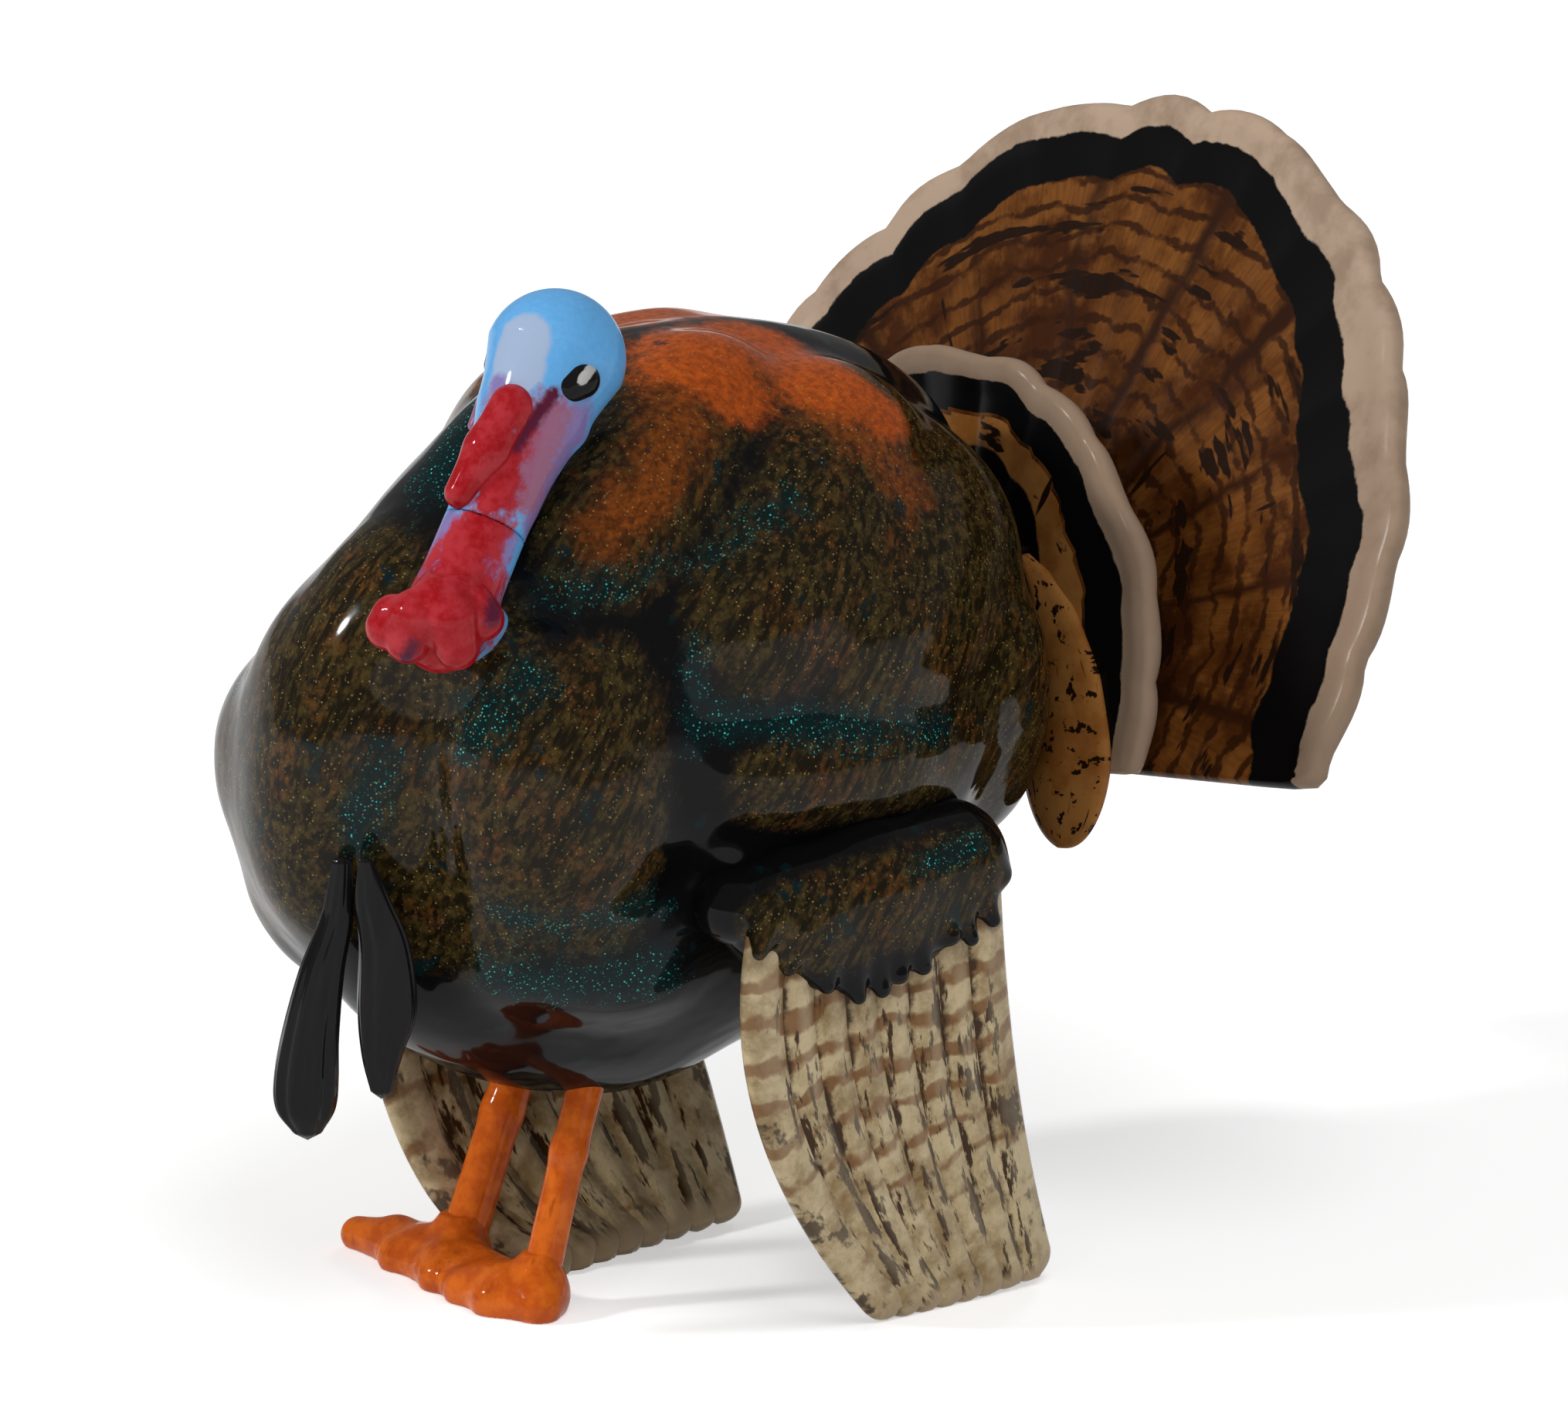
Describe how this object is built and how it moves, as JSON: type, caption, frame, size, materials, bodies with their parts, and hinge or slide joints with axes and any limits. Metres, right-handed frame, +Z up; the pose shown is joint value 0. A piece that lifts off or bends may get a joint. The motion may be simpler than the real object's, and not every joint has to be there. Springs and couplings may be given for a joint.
{
  "type": "turkey decoy",
  "caption": "Small free-standing painted turkey tom in full strut, with a head that turns on a dowel and a tail fan that lifts off its tenon.",
  "frame": {"origin": "on the ground, in the sole between the two feet", "axes": "+Z up, the bird faces -Y, +X is the bird's left"},
  "size_m": [0.1446, 0.1614, 0.1383],
  "materials": {
    "body_paint": "bronze and black glaze with gold and teal flakes under thick clear lacquer",
    "head_paint": "sky blue and mottled pink paint under clear lacquer",
    "red_paint": "crimson paint under clear lacquer",
    "eye_bead": "polished black bead",
    "tail_paint": "amber brown barred feathers, black band and cream rim under clear lacquer",
    "wing_paint": "cream barred with brown under clear lacquer",
    "leg_paint": "orange paint under clear lacquer",
    "beard_paint": "gloss black",
    "dowel_wood": "plain birch dowel",
    "dowel_steel": "ground rod",
    "brass": "drawn tube"
  },
  "bodies": {
    "bird": {"body_left_shell": "body_paint", "body_right_shell": "body_paint", "seam_dowels": "dowel_wood", "neck": "head_paint", "caruncles": "red_paint", "neck_peg": "dowel_wood", "neck_bush": "brass", "tail_socket": "brass", "left_wing_primaries": "wing_paint", "right_wing_primaries": "wing_paint", "left_wing_coverts": "body_paint", "right_wing_coverts": "body_paint", "left_wing_pegs": "dowel_wood", "right_wing_pegs": "dowel_wood", "left_leg": "leg_paint", "right_leg": "leg_paint", "feet": "leg_paint", "beard_front": "beard_paint", "beard_rear": "beard_paint", "rod_socket": "brass"},
    "turning_head": {"head": "head_paint", "snood": "red_paint", "beak": "head_paint", "left_eye": "eye_bead", "right_eye": "eye_bead", "head_dowel": "dowel_steel"},
    "tail": {"tail_fan": "tail_paint", "covert_fan": "tail_paint", "tail_block": "body_paint", "tail_pins": "dowel_wood"}
  },
  "joints": [
    {"name": "head_turn", "type": "hinge", "parent": "bird", "child": "turning_head", "pos_m": [0.01898, -0.01254, 0.10896], "axis": [-0.1305, 0.5885, 0.7979], "range_deg": [-25, 25]},
    {"name": "tail_draw", "type": "slide", "parent": "bird", "child": "tail", "axis": [0, 1, 0], "range_m": [0, 0.022]}
  ]
}
